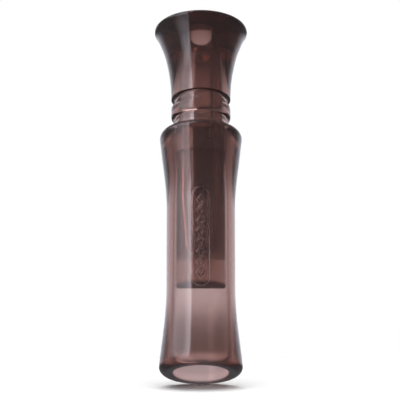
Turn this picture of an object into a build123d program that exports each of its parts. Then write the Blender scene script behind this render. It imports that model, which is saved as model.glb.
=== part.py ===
from build123d import *
import math
import os

# Duck call, modelled upright in millimetres. The mouth end of the barrel stands at z = 0 and
# the exhaust bell is on top. The common axis of all pieces is +Z. The reeds face +Y.

# Barrel outside: rounded lip, straight flare, waist, belled top
lip_round = 2.8
lip_radius = 15.5
mouth_flare_slope = 0.116
mouth_flare_top = 16.8
waist_bottom = 34.5
waist_radius_low = 12.86
waist_top = 65.0
waist_radius_high = 13.0
belly_height = 88.7
belly_radius = 15.23
belly_slope = 0.08
barrel_radius = 15.8
barrel_round = 2.7
barrel_height = 96.6

# Barrel inside: rounded mouth edge, straight bore, socket for the tenon
mouth_round = 0.9
bore_radius = 10.1
socket_radius = 10.43
socket_floor = 85.5
socket_chamfer = 0.3

# Engraved panel on the front of the barrel: one closed groove round a plain field
panel_length = 38.8
panel_width = 5.8
panel_centre = 49.6
groove_width = 0.8
groove_depth = 0.4

# Stopper outside: tenon and neck in one, ring, lanyard groove, bell
tenon_radius = 10.35
tenon_end = 85.5
tenon_chamfer = 0.3
ring_bottom = 102.1
ring_top = 107.8
ring_radius = 11.48
ring_round = 1.25
lanyard_radius = 10.2
bell_bottom = 109.5
bell_round = 1.3
bell_low_slope = 0.02
bell_mid_height = 122.9
bell_mid_radius = 12.57
bell_high_height = 133.9
bell_high_radius = 15.43
rim_height = 139.4
rim_radius = 18.0
rim_slope = 0.69
rim_round = 1.2

# Stopper inside: dished end, exhaust bore, socket for the tone board's stem, reed seat
dish_radius = 15.5
dish_depth = 2.6
exhaust_radius = 4.9
exhaust_chamfer = 0.4
stem_socket_top = 129.7
stem_socket_radius = 8.33
stem_socket_chamfer = 0.4
seat_top = 99.6
seat_radius = 9.38

# How far a cut runs on past the end of what it cuts
cut_margin = 1.0

# Tone board: half a rod below a bored round stem. Its flat reed face falls away from the
# clamp line to the tip.
board_radius = 9.36
board_tip = 32.2
board_tip_round = 1.5
board_shoulder = 99.58
stem_radius = 8.3
stem_top = 127.5
stem_chamfer = 0.5
stem_bore_radius = 3.95
clamp_line = 72.0
face_fall_deg = 1.8
channel_radius = 5.3
channel_taper_top = 68.0
channel_end_radius = 4.0
channel_end = 48.5

# Reeds and wedge. Each reed is one strip of film, cut at the clamp line, where it bends.
reed_width = 12.4
reed_corner = 2.5
reed_gap = 0.02
long_reed_thickness = 0.35
long_reed_tip = 43.5
short_reed_thickness = 0.25
short_reed_tip = 46.5
bend_gap = 0.1
reed_end = 98.5
wedge_end = 99.2


def lathe(*edges):
    """The solid of revolution about Z whose half section these (radius, height) lines close."""
    section = make_face([Plane.XZ * edge for outline in edges for edge in outline.edges()])
    return revolve(section, Axis.Z)


def barrel_outside():
    """Edges from the lip's flat land up to the flat top face."""
    land_outer = lip_radius - lip_round
    flare_end_radius = lip_radius - mouth_flare_slope * (mouth_flare_top - lip_round)
    lip = RadiusArc((land_outer, 0), (lip_radius, lip_round), -lip_round)
    flare = Line((lip_radius, lip_round), (flare_end_radius, mouth_flare_top))
    blend = TangentArc(
        (flare_end_radius, mouth_flare_top),
        (waist_radius_low, waist_bottom),
        tangent=(-mouth_flare_slope, 1),
    )
    waist = Line((waist_radius_low, waist_bottom), (waist_radius_high, waist_top))
    top_round_start = barrel_height - barrel_round
    belly = Spline(
        (waist_radius_high, waist_top),
        (belly_radius, belly_height),
        (barrel_radius, top_round_start),
        tangents=[(0, 1), (belly_slope, 1)],
    )
    shoulder = RadiusArc(
        (barrel_radius, top_round_start),
        (barrel_radius - barrel_round, barrel_height),
        -barrel_round,
    )
    return [lip, flare, blend, waist, belly, shoulder]


def barrel_inside():
    """Edges from the flat top face down the socket and the bore to the lip's flat land."""
    top_face = Line(
        (barrel_radius - barrel_round, barrel_height),
        (socket_radius + socket_chamfer, barrel_height),
    )
    socket = Polyline(
        (socket_radius + socket_chamfer, barrel_height),
        (socket_radius, barrel_height - socket_chamfer),
        (socket_radius, socket_floor),
        (bore_radius, socket_floor),
        (bore_radius, mouth_round),
    )
    edge = RadiusArc((bore_radius, mouth_round), (bore_radius + mouth_round, 0), mouth_round)
    land = Line((bore_radius + mouth_round, 0), (lip_radius - lip_round, 0))
    return [top_face, socket, edge, land]


def panel_groove():
    """The closed groove of the engraved panel, cut a set depth into the waist's front."""
    straight = panel_length - panel_width
    field = Plane.XZ.offset(bore_radius) * Location((0, panel_centre)) * Rotation(0, 0, 90)
    outer = SlotCenterToCenter(straight, panel_width + groove_width)
    inner = SlotCenterToCenter(straight, panel_width - groove_width)
    ring = extrude(field * (outer - inner), waist_radius_high)
    core = Pos(0, 0, panel_centre) * Cylinder(waist_radius_low - groove_depth, 2 * panel_length)
    return ring - core


def make_barrel():
    return lathe(*barrel_outside(), *barrel_inside()) - panel_groove()


def stopper_outside():
    """Edges from the tenon's end up to the top of the bell's rim."""
    tenon = Polyline(
        (seat_radius, tenon_end),
        (tenon_radius - tenon_chamfer, tenon_end),
        (tenon_radius, tenon_end + tenon_chamfer),
        (tenon_radius, ring_bottom),
        (ring_radius - ring_round, ring_bottom),
    )
    ring_low = RadiusArc(
        (ring_radius - ring_round, ring_bottom), (ring_radius, ring_bottom + ring_round), -ring_round
    )
    ring_side = Line((ring_radius, ring_bottom + ring_round), (ring_radius, ring_top - ring_round))
    ring_high = RadiusArc(
        (ring_radius, ring_top - ring_round), (ring_radius - ring_round, ring_top), -ring_round
    )
    lanyard_groove = Polyline(
        (ring_radius - ring_round, ring_top),
        (lanyard_radius, ring_top),
        (lanyard_radius, bell_bottom),
    )
    bell_low = RadiusArc(
        (lanyard_radius, bell_bottom), (ring_radius, bell_bottom + bell_round), -bell_round
    )
    flare = Spline(
        (ring_radius, bell_bottom + bell_round),
        (bell_mid_radius, bell_mid_height),
        (bell_high_radius, bell_high_height),
        (rim_radius, rim_height),
        tangents=[(bell_low_slope, 1), (rim_slope, 1)],
    )
    return [tenon, ring_low, ring_side, ring_high, lanyard_groove, bell_low, flare]


def stopper_inside():
    """Edges round the rim, down the dish, the exhaust bore, the stem's socket and the seat."""
    lean = math.atan(rim_slope)
    rim_centre_radius = rim_radius - rim_round * math.cos(lean)
    rim_top = rim_height + rim_round * (1 + math.sin(lean))
    rim = RadiusArc((rim_radius, rim_height), (rim_centre_radius, rim_top), -rim_round)
    dish_floor = rim_top - dish_depth
    bore = Polyline(
        (rim_centre_radius, rim_top),
        (dish_radius, rim_top),
        (exhaust_radius + exhaust_chamfer, dish_floor),
        (exhaust_radius, dish_floor - exhaust_chamfer),
        (exhaust_radius, stem_socket_top),
        (stem_socket_radius - stem_socket_chamfer, stem_socket_top),
        (stem_socket_radius, stem_socket_top - stem_socket_chamfer),
        (stem_socket_radius, seat_top),
        (seat_radius, seat_top),
        (seat_radius, tenon_end),
    )
    return [rim, bore]


def make_stopper():
    return lathe(*stopper_outside(), *stopper_inside())


def board_blank():
    """The rod and its bored stem, before the reed face and the channel are cut."""
    tip = Line((0, board_tip), (board_radius - board_tip_round, board_tip))
    tip_edge = RadiusArc(
        (board_radius - board_tip_round, board_tip),
        (board_radius, board_tip + board_tip_round),
        -board_tip_round,
    )
    bore_end = board_shoulder - cut_margin
    side = Polyline(
        (board_radius, board_tip + board_tip_round),
        (board_radius, board_shoulder),
        (stem_radius, board_shoulder),
        (stem_radius, stem_top - stem_chamfer),
        (stem_radius - stem_chamfer, stem_top),
        (stem_bore_radius, stem_top),
        (stem_bore_radius, bore_end),
        (0, bore_end),
        (0, board_tip),
    )
    return lathe(tip, tip_edge, side)


def make_tone_board():
    """The blank with the reed face on the axis, less the tapered air channel."""
    below_tip = board_tip - cut_margin
    face_fall = (clamp_line - below_tip) * math.tan(math.radians(face_fall_deg))
    over_face = make_face(
        Plane.YZ
        * Polyline(
            (0, board_shoulder),
            (2 * board_radius, board_shoulder),
            (2 * board_radius, below_tip),
            (-face_fall, below_tip),
            (0, clamp_line),
            close=True,
        )
    )
    channel_tip = channel_end - channel_end_radius
    channel = lathe(
        RadiusArc((0, channel_tip), (channel_end_radius, channel_end), -channel_end_radius),
        Polyline(
            (channel_end_radius, channel_end),
            (channel_radius, channel_taper_top),
            (channel_radius, board_shoulder),
            (0, board_shoulder),
            (0, channel_tip),
        ),
    )
    return board_blank() - extrude(over_face, 2 * board_radius, both=True) - channel


def strip(low, high, underside, thickness, corner):
    """A flat strip of film across the reed face, with its lower corners rounded."""
    body = Pos(0, underside, low) * Box(
        reed_width, thickness, high - low, align=(Align.CENTER, Align.MIN, Align.MIN)
    )
    if corner:
        lower_corners = body.edges().filter_by(Axis.Y).group_by(Axis.Z)[0]
        body = fillet(lower_corners, corner)
    return body


def make_reed(tip, underside, thickness):
    """The free blade below the clamp line and the tail held under the wedge."""
    blade = strip(tip, clamp_line - bend_gap, underside, thickness, reed_corner)
    tail = strip(clamp_line + bend_gap, reed_end, underside, thickness, 0)
    return blade, tail


def make_wedge(underside):
    """The block that fills the round above the reeds and holds them down."""
    rod = Pos(0, 0, clamp_line) * Cylinder(
        board_radius, wedge_end - clamp_line, align=(Align.CENTER, Align.CENTER, Align.MIN)
    )
    upper = Pos(0, underside, clamp_line) * Box(
        2 * board_radius,
        2 * board_radius,
        2 * (wedge_end - clamp_line),
        align=(Align.CENTER, Align.MIN, Align.CENTER),
    )
    return rod & upper


long_underside = reed_gap
short_underside = long_underside + long_reed_thickness + reed_gap
wedge_underside = short_underside + short_reed_thickness + reed_gap
long_blade, long_tail = make_reed(long_reed_tip, long_underside, long_reed_thickness)
short_blade, short_tail = make_reed(short_reed_tip, short_underside, short_reed_thickness)

pieces = {
    "barrel": make_barrel(),
    "stopper": make_stopper(),
    "tone_board": make_tone_board(),
    "reed_long": long_blade,
    "reed_long_tail": long_tail,
    "reed_short": short_blade,
    "reed_short_tail": short_tail,
    "wedge": make_wedge(wedge_underside),
}

os.makedirs("parts", exist_ok=True)
for name, shape in pieces.items():
    export_step(shape, f"parts/{name}.step")
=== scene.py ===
import math

import bmesh
import bpy
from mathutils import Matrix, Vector


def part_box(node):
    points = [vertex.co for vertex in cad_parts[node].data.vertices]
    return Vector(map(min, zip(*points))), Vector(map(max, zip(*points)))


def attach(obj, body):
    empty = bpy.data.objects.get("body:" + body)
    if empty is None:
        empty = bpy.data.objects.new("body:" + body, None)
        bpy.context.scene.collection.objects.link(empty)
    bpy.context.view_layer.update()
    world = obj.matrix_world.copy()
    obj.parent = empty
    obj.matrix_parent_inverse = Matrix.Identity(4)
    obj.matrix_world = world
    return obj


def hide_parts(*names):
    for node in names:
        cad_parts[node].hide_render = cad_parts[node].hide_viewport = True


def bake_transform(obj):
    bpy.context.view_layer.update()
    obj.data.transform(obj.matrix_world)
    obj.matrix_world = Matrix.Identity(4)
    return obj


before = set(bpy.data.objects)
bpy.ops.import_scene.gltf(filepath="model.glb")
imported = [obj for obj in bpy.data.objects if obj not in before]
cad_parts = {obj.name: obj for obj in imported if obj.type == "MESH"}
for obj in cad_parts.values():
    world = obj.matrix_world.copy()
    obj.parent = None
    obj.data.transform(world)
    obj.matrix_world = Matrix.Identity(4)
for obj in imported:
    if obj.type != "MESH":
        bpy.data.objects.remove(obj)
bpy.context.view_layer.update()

MM = 0.001

# Heights and radii in metres, from the frame's boxes and the drawing of each piece.
barrel_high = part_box("barrel")[1]
stopper_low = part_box("stopper")[0]
board_low, board_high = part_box("tone_board")
wedge_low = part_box("wedge")[0]
TOP = barrel_high.z

LIP_ROUND = 2.8 * MM
LIP_RADIUS = 15.5 * MM
MOUTH_FLARE_SLOPE = 0.116
MOUTH_FLARE_TOP = 16.8 * MM
WAIST_BOTTOM = 34.5 * MM
WAIST_RADIUS_LOW = 12.86 * MM
WAIST_TOP = 65.0 * MM
WAIST_RADIUS_HIGH = 13.0 * MM
BELLY_HEIGHT = 88.7 * MM
BELLY_RADIUS = 15.23 * MM
BELLY_SLOPE = 0.08
BARREL_RADIUS = barrel_high.x
BARREL_ROUND = 2.7 * MM

MOUTH_ROUND = 0.9 * MM
BORE_RADIUS = 10.1 * MM
SOCKET_RADIUS = 10.43 * MM
SOCKET_FLOOR = 85.5 * MM
SMALL_CHAMFER = 0.3 * MM

PANEL_LENGTH = 38.8 * MM
PANEL_WIDTH = 5.8 * MM
PANEL_CENTRE = 49.6 * MM
GROOVE_WIDTH = 0.8 * MM
GROOVE_DEPTH = 0.4 * MM
DIAMOND_COUNT = 8
DIAMOND_PITCH = 4.1 * MM
DIAMOND_HALF_WIDTH = 1.4 * MM
DIAMOND_HALF_HEIGHT = 1.9 * MM

TENON_RADIUS = 10.35 * MM
TENON_END = stopper_low.z
RING_BOTTOM = 102.1 * MM
RING_TOP = 107.8 * MM
RING_RADIUS = 11.48 * MM
RING_ROUND = 1.25 * MM
LANYARD_RADIUS = 10.2 * MM
BELL_BOTTOM = 109.5 * MM
BELL_ROUND = 1.3 * MM
BELL_LOW_SLOPE = 0.02
BELL_MID = (12.57 * MM, 122.9 * MM)
BELL_HIGH = (15.43 * MM, 133.9 * MM)
RIM_HEIGHT = 139.4 * MM
RIM_RADIUS = 18.0 * MM
RIM_SLOPE = 0.69
RIM_ROUND = 1.2 * MM
DISH_RADIUS = 15.5 * MM
DISH_DEPTH = 2.6 * MM
EXHAUST_RADIUS = 4.9 * MM
EXHAUST_CHAMFER = 0.4 * MM
STEM_SOCKET_TOP = 129.7 * MM
STEM_SOCKET_RADIUS = 8.33 * MM
STEM_SOCKET_CHAMFER = 0.4 * MM
SEAT_TOP = 99.6 * MM
SEAT_RADIUS = 9.38 * MM

BOARD_RADIUS = board_high.x
BOARD_TIP = board_low.z
BOARD_TIP_ROUND = 1.5 * MM
BOARD_SHOULDER = 99.58 * MM
STEM_TOP = board_high.z
STEM_RADIUS = board_high.y
STEM_CHAMFER = 0.5 * MM
STEM_BORE_RADIUS = 3.95 * MM
CLAMP_LINE = wedge_low.z
FACE_FALL = math.radians(1.8)
CHANNEL_RADIUS = 5.3 * MM
CHANNEL_TAPER_TOP = 68.0 * MM
CHANNEL_END_RADIUS = 4.0 * MM
CHANNEL_END = 48.5 * MM

# The rows of a reed's mesh stand closer together towards its rounded tip.
REED_CORNER = 2.5 * MM
REED_ROWS = 90
REED_ROW_GROWTH = 1.3
BODY_OF_REED = {"reed_long": "long_reed", "reed_short": "short_reed"}

# Edges that turn by more than SHARP_ANGLE degrees are drawn sharp, and points that are closer
# than SAME_POINT are one.
TURN = 2 * math.pi
SHARP_ANGLE = 32
SAME_POINT = 1e-7

# Looks. Light in the plastic is absorbed at the rate of (1 - colour) times density per metre.
# POLISHED and FROSTED are a surface's lowest and highest roughness, which it has at the two
# values of HANDLED_NOISE. ENGRAVING_MATT is the roughness that the engraving adds, in full from
# the share ENGRAVING_FULL of the groove's depth. The haze is a little brown scatter, mixed in
# with the clear plastic.
SMOKE_COLOR = (0.46, 0.16, 0.075)
SMOKE_DENSITY = 202
PLASTIC_IOR = 1.49
POLISHED = (0.012, 0.05)
ENGRAVING_FULL = 0.4
ENGRAVING_MATT = 0.4
HAZE_SHARE = 0.06
HAZE_COLOR = (0.5, 0.26, 0.22, 1)
FILM_COLOR = (0.45, 0.41, 0.4, 1)
FILM_IOR = 1.6
FROSTED = (0.18, 0.3)
HANDLED_NOISE = (0.45, 0.75)
RUBBER_DARK = (0.008, 0.007, 0.007, 1)
RUBBER_PALE = (0.03, 0.026, 0.025, 1)
PAPER_COLOR = (0.93, 0.93, 0.93, 1)
WHITE = (1, 1, 1, 1)

# Camera: the call leans back by LEAN and the camera looks level. The lens and its sensor are
# in millimetres and the sideways shift is a share of the picture's width.
LEAN = math.radians(22.285)
CAMERA_DISTANCE = 0.711
AIM_HEIGHT = 0.068925
SENSOR = 36.0
FOCAL_LENGTH = 168.12
CAMERA_SHIFT = -0.0022

# Stage. Angles are in degrees, and a pair of them says where a light starts and stops growing
# or fading. BACK is the bright panel behind the call, SOFTBOX the tall light at the left, with
# its brightness at each elevation in SOFTBOX_BANDS, GLOW a weaker light between the two and SKY
# the light that falls on matt surfaces such as the floor. ROOM_LEVEL is the brightness of the
# rest of the studio, and AIR_TINT the tint of all that reflections and refractions show.
FLOOR_HALF = 0.11
BACK_WIDTH = (34, 66)
BACK_RISE = (-13, -5)
BACK_FALL = (4, 30)
ROOM_LEVEL = 0.24
SOFTBOX_SLANT = 0.27
SOFTBOX_EDGE = (-151.5, -148.5)
SOFTBOX_FADE = (-133, -106)
SOFTBOX_LEVEL = 5.2
SOFTBOX_BANDS = (
    (-25, 0.1),
    (-10, 0.24),
    (3, 0.34),
    (20, 0.8),
    (29, 0.45),
    (36, 1.0),
)
GLOW_RISE = (-130, -105)
GLOW_FALL = (-85, -45)
GLOW_HEIGHT = (12, 30)
GLOW_LOW = 0.15
GLOW_LEVEL = 2.2
SKY_HEIGHT = (25, 65)
SKY_LOW = 0.3
SKY_HIGH = 2.5
AIR_TINT = (1.0, 1.0, 1.1, 1)


def arc(centre, radius, start, end, steps=10):
    """Points of a circular arc in the (radius, height) plane, angles in degrees from +radius."""
    points = []
    for i in range(steps + 1):
        angle = math.radians(start + (end - start) * i / steps)
        points.append(
            (centre[0] + radius * math.cos(angle), centre[1] + radius * math.sin(angle))
        )
    return points


def line(start, end, steps=1):
    """Evenly spaced points from start to end."""
    return [
        (
            start[0] + (end[0] - start[0]) * i / steps,
            start[1] + (end[1] - start[1]) * i / steps,
        )
        for i in range(steps + 1)
    ]


def tangent_arc(start, end, slope_angle, steps=24):
    """Points of the arc that leaves start in the direction slope_angle and ends at end."""
    chord = Vector((end[0] - start[0], end[1] - start[1]))
    turn = 2 * (math.atan2(chord.y, chord.x) - math.radians(slope_angle))
    points = []
    for i in range(steps + 1):
        part = i / steps
        reach = chord.length * math.sin(turn * part / 2) / math.sin(turn / 2)
        heading = math.radians(slope_angle) + turn * part / 2
        points.append(
            (start[0] + reach * math.cos(heading), start[1] + reach * math.sin(heading))
        )
    return points


def smooth_curve(stations, first_slope, last_slope, steps=16):
    """A curve of radius over height through the stations, with given slopes at its ends."""
    slopes = [first_slope]
    for before, here, after in zip(stations, stations[1:], stations[2:]):
        low = (here[0] - before[0]) / (here[1] - before[1])
        high = (after[0] - here[0]) / (after[1] - here[1])
        share = (here[1] - before[1]) / (after[1] - before[1])
        slopes.append(low * (1 - share) + high * share)
    slopes.append(last_slope)
    points = [stations[0]]
    for (start, end), (m0, m1) in zip(
        zip(stations, stations[1:]), zip(slopes, slopes[1:])
    ):
        height = end[1] - start[1]
        for i in range(1, steps + 1):
            t = i / steps
            radius = (
                (2 * t**3 - 3 * t**2 + 1) * start[0]
                + (t**3 - 2 * t**2 + t) * height * m0
                + (3 * t**2 - 2 * t**3) * end[0]
                + (t**3 - t**2) * height * m1
            )
            points.append((radius, start[1] + height * t))
    return points


def chain(*runs):
    """The runs joined end to end, each shared point once."""
    outline = []
    for run in runs:
        for point in run:
            if not outline or math.dist(point, outline[-1]) > SAME_POINT:
                outline.append(point)
    if math.dist(outline[0], outline[-1]) < SAME_POINT:
        outline.pop()
    return outline


def even_angles(count):
    """Angles evenly spaced round the axis."""
    return [TURN * i / count for i in range(count)]


def lathe(name, outline, angles, press=None):
    """A closed mesh that turns the closed outline about Z.

    press(angle, index, radius, height) is the depth cut at a point. The mesh keeps it as the
    attribute "engraving", from 0 to 1.
    """
    mesh = bmesh.new()
    engraving = mesh.verts.layers.float.new("engraving")
    rings = []
    for angle in angles:
        ring = []
        for index, (radius, height) in enumerate(outline):
            depth = press(angle, index, radius, height) if press else 0.0
            reach = radius - depth
            point = (reach * math.sin(angle), -reach * math.cos(angle), height)
            ring.append(mesh.verts.new(point))
            ring[-1][engraving] = min(depth / (ENGRAVING_FULL * GROOVE_DEPTH), 1.0)
        rings.append(ring)
    for this, following in zip(rings, rings[1:] + rings[:1]):
        for i in range(len(outline)):
            j = (i + 1) % len(outline)
            mesh.faces.new((this[i], following[i], following[j], this[j]))
    return finish_mesh(name, mesh)


def shade(mesh):
    """Smooth faces, with sharp edges where the surface really turns."""
    for face in mesh.faces:
        face.smooth = True
    for edge in mesh.edges:
        if edge.is_manifold:
            edge.smooth = edge.calc_face_angle() < math.radians(SHARP_ANGLE)


def finish_mesh(name, mesh):
    """The bmesh as a shaded object in the scene."""
    bmesh.ops.recalc_face_normals(mesh, faces=mesh.faces)
    shade(mesh)
    data = bpy.data.meshes.new(name)
    mesh.to_mesh(data)
    mesh.free()
    piece = bpy.data.objects.new(name, data)
    bpy.context.scene.collection.objects.link(piece)
    return piece


# ---------------------------------------------------------------- nodes


def feed(tree, socket, value):
    """Gives a node's input a number, a colour or another node's output."""
    if isinstance(value, bpy.types.NodeSocket):
        tree.links.new(value, socket)
    else:
        socket.default_value = value


def math_node(tree, operation, *values):
    """The result of a Math node."""
    node = tree.nodes.new("ShaderNodeMath")
    node.operation = operation
    for socket, value in zip(node.inputs, values):
        feed(tree, socket, value)
    return node.outputs["Value"]


def ramp(tree, value, span, start=0.0, end=1.0, shape="SMOOTHSTEP"):
    """Goes from start to end while the value crosses the span."""
    node = tree.nodes.new("ShaderNodeMapRange")
    node.interpolation_type = shape
    tree.links.new(value, node.inputs["Value"])
    node.inputs["From Min"].default_value = span[0]
    node.inputs["From Max"].default_value = span[1]
    node.inputs["To Min"].default_value = start
    node.inputs["To Max"].default_value = end
    return node.outputs["Result"]


def mix(tree, share, first, second, kind="FLOAT"):
    """A blend of two numbers or colours."""
    node = tree.nodes.new("ShaderNodeMix")
    node.data_type = kind
    feed(tree, node.inputs["Factor"], share)
    feed(tree, node.inputs["A"], first)
    feed(tree, node.inputs["B"], second)
    return node.outputs["Result"]


def mix_shaders(tree, share, first, second):
    """Sends a blend of two shaders to the material's surface."""
    node = tree.nodes.new("ShaderNodeMixShader")
    feed(tree, node.inputs["Fac"], share)
    tree.links.new(first.outputs["BSDF"], node.inputs[1])
    tree.links.new(second.outputs["BSDF"], node.inputs[2])
    tree.links.new(node.outputs["Shader"], tree.nodes["Material Output"].inputs["Surface"])


def noise(tree, scale, detail):
    """Noise that stays with the surface, from 0 to 1."""
    place = tree.nodes.new("ShaderNodeTexCoord")
    node = tree.nodes.new("ShaderNodeTexNoise")
    node.inputs["Scale"].default_value = scale
    node.inputs["Detail"].default_value = detail
    tree.links.new(place.outputs["Object"], node.inputs["Vector"])
    return node.outputs["Fac"]


# ---------------------------------------------------------------- materials


def new_material(name):
    """A material with its node tree and its shader."""
    material = bpy.data.materials.new(name)
    material.use_nodes = True
    return material, material.node_tree, material.node_tree.nodes["Principled BSDF"]


def polish(tree, limits):
    """Roughness that drifts between the lowest and the highest of a handled surface."""
    return ramp(tree, noise(tree, scale=90, detail=6), HANDLED_NOISE, *limits, shape="LINEAR")


def smoke_plastic():
    """Polished clear plastic. The tint comes from the depth of plastic that light crosses."""
    material, tree, shader = new_material("smoke_plastic")
    shader.inputs["Base Color"].default_value = WHITE
    shader.inputs["Transmission Weight"].default_value = 1.0
    shader.inputs["IOR"].default_value = PLASTIC_IOR
    volume = tree.nodes.new("ShaderNodeVolumeAbsorption")
    volume.inputs["Color"].default_value = (*SMOKE_COLOR, 1)
    volume.inputs["Density"].default_value = SMOKE_DENSITY
    tree.links.new(volume.outputs["Volume"], tree.nodes["Material Output"].inputs["Volume"])
    engraving = tree.nodes.new("ShaderNodeAttribute")
    engraving.attribute_name = "engraving"
    rough = math_node(
        tree, "MULTIPLY_ADD", engraving.outputs["Fac"], ENGRAVING_MATT, polish(tree, POLISHED)
    )
    tree.links.new(rough, shader.inputs["Roughness"])
    haze = tree.nodes.new("ShaderNodeBsdfDiffuse")
    haze.inputs["Color"].default_value = HAZE_COLOR
    mix_shaders(tree, HAZE_SHARE, shader, haze)
    return material


def reed_film():
    """Smoke-tinted polyester film with a fine frosting."""
    material, tree, shader = new_material("reed_film")
    shader.inputs["Base Color"].default_value = FILM_COLOR
    shader.inputs["Transmission Weight"].default_value = 1.0
    shader.inputs["IOR"].default_value = FILM_IOR
    tree.links.new(polish(tree, FROSTED), shader.inputs["Roughness"])
    return material


def black_rubber():
    """Dense black rubber with a fine grain."""
    material, tree, shader = new_material("wedge_rubber")
    grain = noise(tree, scale=1800, detail=4)
    tone = tree.nodes.new("ShaderNodeValToRGB")
    tone.color_ramp.elements[0].color = RUBBER_DARK
    tone.color_ramp.elements[1].color = RUBBER_PALE
    tree.links.new(grain, tone.inputs["Fac"])
    tree.links.new(tone.outputs["Color"], shader.inputs["Base Color"])
    bump = tree.nodes.new("ShaderNodeBump")
    bump.inputs["Strength"].default_value = 0.3
    bump.inputs["Distance"].default_value = 0.05 * MM
    tree.links.new(grain, bump.inputs["Height"])
    tree.links.new(bump.outputs["Normal"], shader.inputs["Normal"])
    shader.inputs["Roughness"].default_value = 0.75
    return material


def floor_paper():
    """White paper that only the camera sees, and only from above, so it never hides the call."""
    material, tree, shader = new_material("paper")
    shader.inputs["Base Color"].default_value = PAPER_COLOR
    shader.inputs["Roughness"].default_value = 0.9
    side = tree.nodes.new("ShaderNodeNewGeometry")
    ray = tree.nodes.new("ShaderNodeLightPath")
    unseen = math_node(tree, "SUBTRACT", 1.0, ray.outputs["Is Camera Ray"])
    hidden = math_node(tree, "MAXIMUM", side.outputs["Backfacing"], unseen)
    clear = tree.nodes.new("ShaderNodeBsdfTransparent")
    mix_shaders(tree, hidden, shader, clear)
    return material


# ---------------------------------------------------------------- pieces


def barrel_outside():
    """From the lip's land up the outside to the flat top."""
    land_outer = LIP_RADIUS - LIP_ROUND
    flare_end = LIP_RADIUS - MOUTH_FLARE_SLOPE * (MOUTH_FLARE_TOP - LIP_ROUND)
    flare_angle = 90 + math.degrees(math.atan(MOUTH_FLARE_SLOPE))
    margin = 1.0 * MM
    panel_low = PANEL_CENTRE - PANEL_LENGTH / 2 - margin
    panel_high = PANEL_CENTRE + PANEL_LENGTH / 2 + margin
    fine_step = 0.13 * MM
    lip = arc((land_outer, LIP_ROUND), LIP_ROUND, -90, 0, 16)
    flare = line((LIP_RADIUS, LIP_ROUND), (flare_end, MOUTH_FLARE_TOP), 8)
    blend = tangent_arc(
        (flare_end, MOUTH_FLARE_TOP), (WAIST_RADIUS_LOW, WAIST_BOTTOM), flare_angle, 24
    )
    waist = line((WAIST_RADIUS_LOW, WAIST_BOTTOM), (WAIST_RADIUS_HIGH, WAIST_TOP), 4)
    belly = smooth_curve(
        [
            (WAIST_RADIUS_HIGH, WAIST_TOP),
            (BELLY_RADIUS, BELLY_HEIGHT),
            (BARREL_RADIUS, TOP - BARREL_ROUND),
        ],
        0.0,
        BELLY_SLOPE,
        20,
    )
    shoulder = arc(
        (BARREL_RADIUS - BARREL_ROUND, TOP - BARREL_ROUND), BARREL_ROUND, 0, 90, 14
    )
    whole = chain(lip, flare, blend, waist, belly, shoulder)
    return refine(whole, panel_low, panel_high, fine_step)


def refine(outline, low, high, step):
    """The outline with extra points at the given height step between two heights."""
    finer = []
    for start, end in zip(outline, outline[1:]):
        finer.append(start)
        if end[1] <= low or start[1] >= high:
            continue
        parts = max(1, round((end[1] - start[1]) / step))
        finer.extend(line(start, end, parts)[1:-1])
    finer.append(outline[-1])
    return finer


def barrel_inside():
    """The runs from the flat top down the socket and the bore to the lip's land."""
    socket = [
        (BARREL_RADIUS - BARREL_ROUND, TOP),
        (SOCKET_RADIUS + SMALL_CHAMFER, TOP),
        (SOCKET_RADIUS, TOP - SMALL_CHAMFER),
    ]
    wall = line((SOCKET_RADIUS, TOP - SMALL_CHAMFER), (SOCKET_RADIUS, SOCKET_FLOOR), 4)
    bore = line((BORE_RADIUS, SOCKET_FLOOR), (BORE_RADIUS, MOUTH_ROUND), 12)
    edge = arc((BORE_RADIUS + MOUTH_ROUND, MOUTH_ROUND), MOUTH_ROUND, 180, 270, 8)
    return [socket, wall, bore, edge]


def groove(distance):
    """Depth of a rounded groove at a distance from its middle line."""
    across = abs(distance) / (GROOVE_WIDTH / 2)
    if across >= 1:
        return 0.0
    return GROOVE_DEPTH * (1 - across**2)


def diamond(across, along):
    """Depth of a plain row of diamonds, one above the other."""
    middle = (DIAMOND_COUNT - 1) / 2
    nearest = round(along / DIAMOND_PITCH + middle)
    nearest = min(max(nearest, 0), DIAMOND_COUNT - 1)
    along -= (nearest - middle) * DIAMOND_PITCH
    reach = abs(across) / DIAMOND_HALF_WIDTH + abs(along) / DIAMOND_HALF_HEIGHT - 1
    return groove(reach / math.hypot(1 / DIAMOND_HALF_WIDTH, 1 / DIAMOND_HALF_HEIGHT))


def panel_press(outside_count):
    """The engraving's depth on the outside of the barrel."""
    half_straight = (PANEL_LENGTH - PANEL_WIDTH) / 2
    reach = PANEL_WIDTH / 2 + GROOVE_WIDTH

    def press(angle, index, radius, height):
        if index >= outside_count:
            return 0.0
        turn = (angle + math.pi) % TURN - math.pi
        across = turn * radius
        along = height - PANEL_CENTRE
        if abs(across) > reach or abs(along) > PANEL_LENGTH / 2 + GROOVE_WIDTH:
            return 0.0
        past = max(abs(along) - half_straight, 0.0)
        border = math.hypot(across, past) - PANEL_WIDTH / 2
        return max(groove(border), diamond(across, along))

    return press


def make_barrel(material):
    """The barrel, with close-set points round the engraved panel and wider ones elsewhere."""
    outside = barrel_outside()
    outline = chain(outside, *barrel_inside())
    half_panel = (PANEL_WIDTH / 2 + GROOVE_WIDTH) / WAIST_RADIUS_LOW
    fine_steps = 66
    coarse_steps = 120
    fine = [
        -half_panel + 2 * half_panel * i / fine_steps for i in range(fine_steps + 1)
    ]
    rest = TURN - 2 * half_panel
    coarse = [half_panel + rest * i / coarse_steps for i in range(1, coarse_steps)]
    piece = lathe("barrel_clear", outline, fine + coarse, panel_press(len(outside)))
    piece.data.materials.append(material)
    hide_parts("barrel")
    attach(piece, "barrel")


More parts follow.
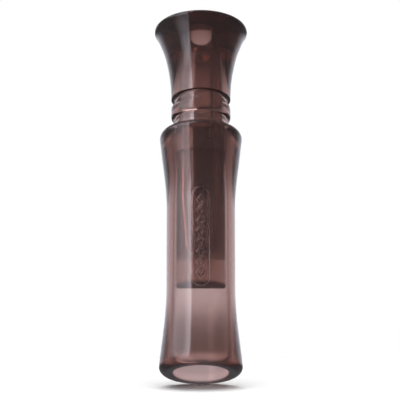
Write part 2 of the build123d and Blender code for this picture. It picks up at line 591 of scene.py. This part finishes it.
def stopper_outline():
    """Up the outside of the stopper from the tenon's end, over the rim and down the inside."""
    rim_tilt = math.atan(RIM_SLOPE)
    rim_centre = (
        RIM_RADIUS - RIM_ROUND * math.cos(rim_tilt),
        RIM_HEIGHT + RIM_ROUND * math.sin(rim_tilt),
    )
    ring_flat = RING_RADIUS - RING_ROUND
    tenon = [
        (SEAT_RADIUS, TENON_END),
        (TENON_RADIUS - SMALL_CHAMFER, TENON_END),
        (TENON_RADIUS, TENON_END + SMALL_CHAMFER),
        (TENON_RADIUS, RING_BOTTOM),
    ]
    ring = chain(
        arc((ring_flat, RING_BOTTOM + RING_ROUND), RING_ROUND, -90, 0, 8),
        arc((ring_flat, RING_TOP - RING_ROUND), RING_ROUND, 0, 90, 8),
    )
    lanyard = [(LANYARD_RADIUS, RING_TOP), (LANYARD_RADIUS, BELL_BOTTOM)]
    bell_edge = arc((RING_RADIUS, BELL_BOTTOM), BELL_ROUND, 180, 90, 8)
    flare = smooth_curve(
        [
            (RING_RADIUS, BELL_BOTTOM + BELL_ROUND),
            BELL_MID,
            BELL_HIGH,
            (RIM_RADIUS, RIM_HEIGHT),
        ],
        BELL_LOW_SLOPE,
        RIM_SLOPE,
        16,
    )
    rim = arc(rim_centre, RIM_ROUND, -math.degrees(rim_tilt), 90, 12)
    rim_top = rim_centre[1] + RIM_ROUND
    dish = [
        (DISH_RADIUS, rim_top),
        (EXHAUST_RADIUS + EXHAUST_CHAMFER, rim_top - DISH_DEPTH),
        (EXHAUST_RADIUS, rim_top - DISH_DEPTH - EXHAUST_CHAMFER),
    ]
    bore = [
        (EXHAUST_RADIUS, STEM_SOCKET_TOP),
        (STEM_SOCKET_RADIUS - STEM_SOCKET_CHAMFER, STEM_SOCKET_TOP),
        (STEM_SOCKET_RADIUS, STEM_SOCKET_TOP - STEM_SOCKET_CHAMFER),
        (STEM_SOCKET_RADIUS, SEAT_TOP),
        (SEAT_RADIUS, SEAT_TOP),
    ]
    return chain(tenon, ring, lanyard, bell_edge, flare, rim, dish, bore)


def board_outline():
    """The tone board's rod and stem as one section, before the reed face is cut."""
    rod_edge = arc(
        (BOARD_RADIUS - BOARD_TIP_ROUND, BOARD_TIP + BOARD_TIP_ROUND), BOARD_TIP_ROUND, -90, 0, 16
    )
    rod_side = line(
        (BOARD_RADIUS, BOARD_TIP + BOARD_TIP_ROUND), (BOARD_RADIUS, BOARD_SHOULDER), 10
    )
    # The stem's bore ends just below the shoulder, inside the channel's cut.
    bore_end = BOARD_SHOULDER - 1.0 * MM
    stem = [
        (STEM_RADIUS, BOARD_SHOULDER),
        (STEM_RADIUS, STEM_TOP - STEM_CHAMFER),
        (STEM_RADIUS - STEM_CHAMFER, STEM_TOP),
        (STEM_BORE_RADIUS, STEM_TOP),
        (STEM_BORE_RADIUS, bore_end),
    ]
    return chain([(0, BOARD_TIP)], rod_edge, rod_side, stem, [(0, bore_end)])


def solid_lathe(name, outline, count):
    """A lathe whose outline starts and ends on the axis, where the rings close to a point."""
    mesh = bmesh.new()
    bottom = mesh.verts.new((0, 0, outline[0][1]))
    top = mesh.verts.new((0, 0, outline[-1][1]))
    rings = [
        [
            mesh.verts.new((radius * math.sin(angle), -radius * math.cos(angle), height))
            for radius, height in outline[1:-1]
        ]
        for angle in even_angles(count)
    ]
    for this, following in zip(rings, rings[1:] + rings[:1]):
        mesh.faces.new((bottom, following[0], this[0]))
        mesh.faces.new((top, this[-1], following[-1]))
        for i in range(len(this) - 1):
            mesh.faces.new((this[i], following[i], following[i + 1], this[i + 1]))
    return finish_mesh(name, mesh)


def over_face_cutter():
    """A prism over the reed face, from below the tip to the top of the half rod."""
    low = BOARD_TIP - 1.0 * MM
    high = BOARD_SHOULDER
    wide = 2 * BOARD_RADIUS
    section = [
        (-(CLAMP_LINE - low) * math.tan(FACE_FALL), low),
        (0, CLAMP_LINE),
        (0, high),
        (wide, high),
        (wide, low),
    ]
    mesh = bmesh.new()
    near = [mesh.verts.new((-wide, y, z)) for y, z in section]
    far = [mesh.verts.new((wide, y, z)) for y, z in section]
    mesh.faces.new(near)
    mesh.faces.new(list(reversed(far)))
    for i in range(len(section)):
        j = (i + 1) % len(section)
        mesh.faces.new((near[i], far[i], far[j], near[j]))
    return finish_mesh("over_face", mesh)


def channel_cutter():
    """The tapered air channel with its round lower end."""
    end = arc((0, CHANNEL_END), CHANNEL_END_RADIUS, -90, 0, 12)
    outline = chain(
        end,
        [
            (CHANNEL_RADIUS, CHANNEL_TAPER_TOP),
            (CHANNEL_RADIUS, BOARD_SHOULDER),
            (0, BOARD_SHOULDER),
        ],
    )
    return solid_lathe("channel", outline, 96)


def cut(piece, *cutters):
    """Subtracts each cutter from the piece and removes the cutter."""
    for cutter in cutters:
        modifier = piece.modifiers.new("cut", "BOOLEAN")
        modifier.operation = "DIFFERENCE"
        modifier.solver = "EXACT"
        modifier.object = cutter
        graph = bpy.context.evaluated_depsgraph_get()
        result = bpy.data.meshes.new_from_object(piece.evaluated_get(graph))
        piece.modifiers.clear()
        piece.data = result
        bpy.data.objects.remove(cutter)
    mesh = bmesh.new()
    mesh.from_mesh(piece.data)
    shade(mesh)
    mesh.to_mesh(piece.data)
    mesh.free()


def make_stopper(material):
    """The stopper with its bell, turned in one."""
    piece = lathe("stopper_clear", stopper_outline(), even_angles(192))
    piece.data.materials.append(material)
    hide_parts("stopper")
    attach(piece, "insert")


def make_board(material):
    """The tone board: the turned rod and stem, less the space over the reed face and the channel."""
    piece = solid_lathe("board_clear", board_outline(), 192)
    cut(piece, over_face_cutter(), channel_cutter())
    piece.data.materials.clear()
    piece.data.materials.append(material)
    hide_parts("tone_board")
    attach(piece, "insert")


def make_reed(node, material):
    """One straight strip of film from its rounded tip to the top of its tail."""
    low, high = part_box(node)
    tail_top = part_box(node + "_tail")[1].z
    half = high.x
    mesh = bmesh.new()
    rows = []
    for i in range(REED_ROWS + 1):
        rise = (tail_top - low.z) * (i / REED_ROWS) ** REED_ROW_GROWTH
        inset = 0.0
        if rise < REED_CORNER:
            inset = REED_CORNER - math.sqrt(REED_CORNER**2 - (REED_CORNER - rise) ** 2)
        rows.append(
            [
                mesh.verts.new((x, y, low.z + rise))
                for y in (low.y, high.y)
                for x in (-half + inset, half - inset)
            ]
        )
    for this, above in zip(rows, rows[1:]):
        for a, b in ((0, 1), (1, 3), (3, 2), (2, 0)):
            mesh.faces.new((this[a], this[b], above[b], above[a]))
    for row in (rows[0], rows[-1]):
        mesh.faces.new((row[0], row[1], row[3], row[2]))
    piece = finish_mesh(node + "_film", mesh)
    piece.data.materials.append(material)
    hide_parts(node, node + "_tail")
    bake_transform(piece)


def dress(node, material):
    """Gives a carried-over CAD node its material."""
    piece = bpy.data.objects[node]
    piece.data.materials.clear()
    piece.data.materials.append(material)


# ---------------------------------------------------------------- stage


def make_floor():
    """A small sheet of paper that touches the lip where the leaning call would rest on it."""
    contact = Vector(
        (
            0,
            LIP_RADIUS - LIP_ROUND + LIP_ROUND * math.sin(LEAN),
            LIP_ROUND - LIP_ROUND * math.cos(LEAN),
        )
    )
    along = Vector((0, math.cos(LEAN), math.sin(LEAN)))
    mesh = bmesh.new()
    corners = [
        contact + FLOOR_HALF * (Vector((x, 0, 0)) + along * y)
        for x, y in ((-1, -1), (1, -1), (1, 1), (-1, 1))
    ]
    mesh.faces.new([mesh.verts.new(corner) for corner in corners])
    data = bpy.data.meshes.new("floor")
    mesh.to_mesh(data)
    mesh.free()
    floor = bpy.data.objects.new("floor", data)
    bpy.context.scene.collection.objects.link(floor)
    floor.data.materials.append(floor_paper())


def level_angles(tree):
    """The azimuth and elevation of a direction, in the level frame of the leaning call.

    Azimuth 0 is straight behind the call, 180 towards the viewer and positive to the right.
    """
    place = tree.nodes.new("ShaderNodeTexCoord")
    level = tree.nodes.new("ShaderNodeVectorRotate")
    level.rotation_type = "X_AXIS"
    level.inputs["Angle"].default_value = -LEAN
    tree.links.new(place.outputs["Generated"], level.inputs["Vector"])
    split = tree.nodes.new("ShaderNodeSeparateXYZ")
    tree.links.new(level.outputs["Vector"], split.inputs["Vector"])
    azimuth = math_node(tree, "ARCTAN2", split.outputs["X"], split.outputs["Y"])
    elevation = math_node(tree, "ARCSINE", split.outputs["Z"])
    in_degrees = 180 / math.pi
    return (
        math_node(tree, "MULTIPLY", azimuth, in_degrees),
        math_node(tree, "MULTIPLY", elevation, in_degrees),
    )


def back_panel(tree, azimuth, elevation):
    """The bright panel behind the call."""
    aside = math_node(tree, "ABSOLUTE", azimuth)
    across = ramp(tree, aside, BACK_WIDTH, 1.0, 0.0)
    rise = ramp(tree, elevation, BACK_RISE)
    fall = ramp(tree, elevation, BACK_FALL, 1.0, 0.0)
    return math_node(tree, "MULTIPLY", across, math_node(tree, "MULTIPLY", rise, fall))


def softbox(tree, azimuth, elevation):
    """The tall light at the left. Its near edge slants, and its far edge fades."""
    slant = math_node(tree, "MULTIPLY", elevation, SOFTBOX_SLANT)
    from_edge = math_node(tree, "SUBTRACT", azimuth, slant)
    near = ramp(tree, from_edge, SOFTBOX_EDGE)
    far = ramp(tree, azimuth, SOFTBOX_FADE, 1.0, 0.0)
    across = math_node(tree, "MULTIPLY", near, far)
    bands = tree.nodes.new("ShaderNodeValToRGB")
    for height, brightness in SOFTBOX_BANDS:
        stop = bands.color_ramp.elements.new((height + 90) / 180)
        stop.color = (brightness, brightness, brightness, 1)
    tree.links.new(ramp(tree, elevation, (-90, 90), shape="LINEAR"), bands.inputs["Fac"])
    banded = math_node(tree, "MULTIPLY", across, bands.outputs["Color"])
    return math_node(tree, "MULTIPLY", banded, SOFTBOX_LEVEL)


def glow(tree, azimuth, elevation):
    """The weaker light between the softbox and the back panel, brighter higher up."""
    rise = ramp(tree, azimuth, GLOW_RISE)
    fall = ramp(tree, azimuth, GLOW_FALL, 1.0, 0.0)
    across = math_node(tree, "MULTIPLY", rise, fall)
    return math_node(
        tree, "MULTIPLY", across, ramp(tree, elevation, GLOW_HEIGHT, GLOW_LOW, GLOW_LEVEL)
    )


def studio(tree, azimuth, elevation):
    """The brightness of the studio: its room, the panel and the lights."""
    back = math_node(tree, "MULTIPLY", back_panel(tree, azimuth, elevation), 1.0 - ROOM_LEVEL)
    room = math_node(tree, "ADD", back, ROOM_LEVEL)
    left = math_node(
        tree, "ADD", softbox(tree, azimuth, elevation), glow(tree, azimuth, elevation)
    )
    return math_node(tree, "ADD", room, left)


def make_world():
    """White to the camera, a sky to diffuse light, and the studio to reflections and refractions."""
    world = bpy.data.worlds.new("studio")
    bpy.context.scene.world = world
    world.use_nodes = True
    # Otherwise the floor's shadow would follow the studio's lights and not the sky.
    world.cycles.sampling_method = "NONE"
    tree = world.node_tree
    tree.nodes.clear()
    azimuth, elevation = level_angles(tree)
    sky = ramp(tree, elevation, SKY_HEIGHT, SKY_LOW, SKY_HIGH)
    ray = tree.nodes.new("ShaderNodeLightPath")
    diffuse = ray.outputs["Is Diffuse Ray"]
    direct = math_node(tree, "MAXIMUM", ray.outputs["Is Camera Ray"], diffuse)
    plain = mix(tree, diffuse, 1.0, sky)
    strength = mix(tree, direct, studio(tree, azimuth, elevation), plain)
    background = tree.nodes.new("ShaderNodeBackground")
    tree.links.new(mix(tree, direct, AIR_TINT, WHITE, "RGBA"), background.inputs["Color"])
    tree.links.new(strength, background.inputs["Strength"])
    output = tree.nodes.new("ShaderNodeOutputWorld")
    tree.links.new(background.outputs["Background"], output.inputs["Surface"])


def make_camera():
    """The camera looks up at the call by the angle that the call leans back."""
    data = bpy.data.cameras.new("camera")
    data.sensor_width = SENSOR
    data.lens = FOCAL_LENGTH
    data.shift_x = CAMERA_SHIFT
    camera = bpy.data.objects.new("camera", data)
    bpy.context.scene.collection.objects.link(camera)
    camera.location = (
        0,
        -CAMERA_DISTANCE * math.cos(LEAN),
        AIM_HEIGHT - CAMERA_DISTANCE * math.sin(LEAN),
    )
    camera.rotation_euler = (math.pi / 2 + LEAN, 0, 0)
    bpy.context.scene.camera = camera


def set_light_paths():
    """Plain colours, and enough bounces to cross every wall of the nested clear pieces."""
    scene = bpy.context.scene
    scene.view_settings.view_transform = "Standard"
    scene.cycles.max_bounces = 32
    scene.cycles.transmission_bounces = 32
    scene.cycles.glossy_bounces = 8
    scene.cycles.transparent_max_bounces = 16


make_camera()
make_floor()
make_world()
set_light_paths()

plastic = smoke_plastic()
make_barrel(plastic)
make_stopper(plastic)
make_board(plastic)
film = reed_film()
for node in BODY_OF_REED:
    make_reed(node, film)
dress("wedge", black_rubber())
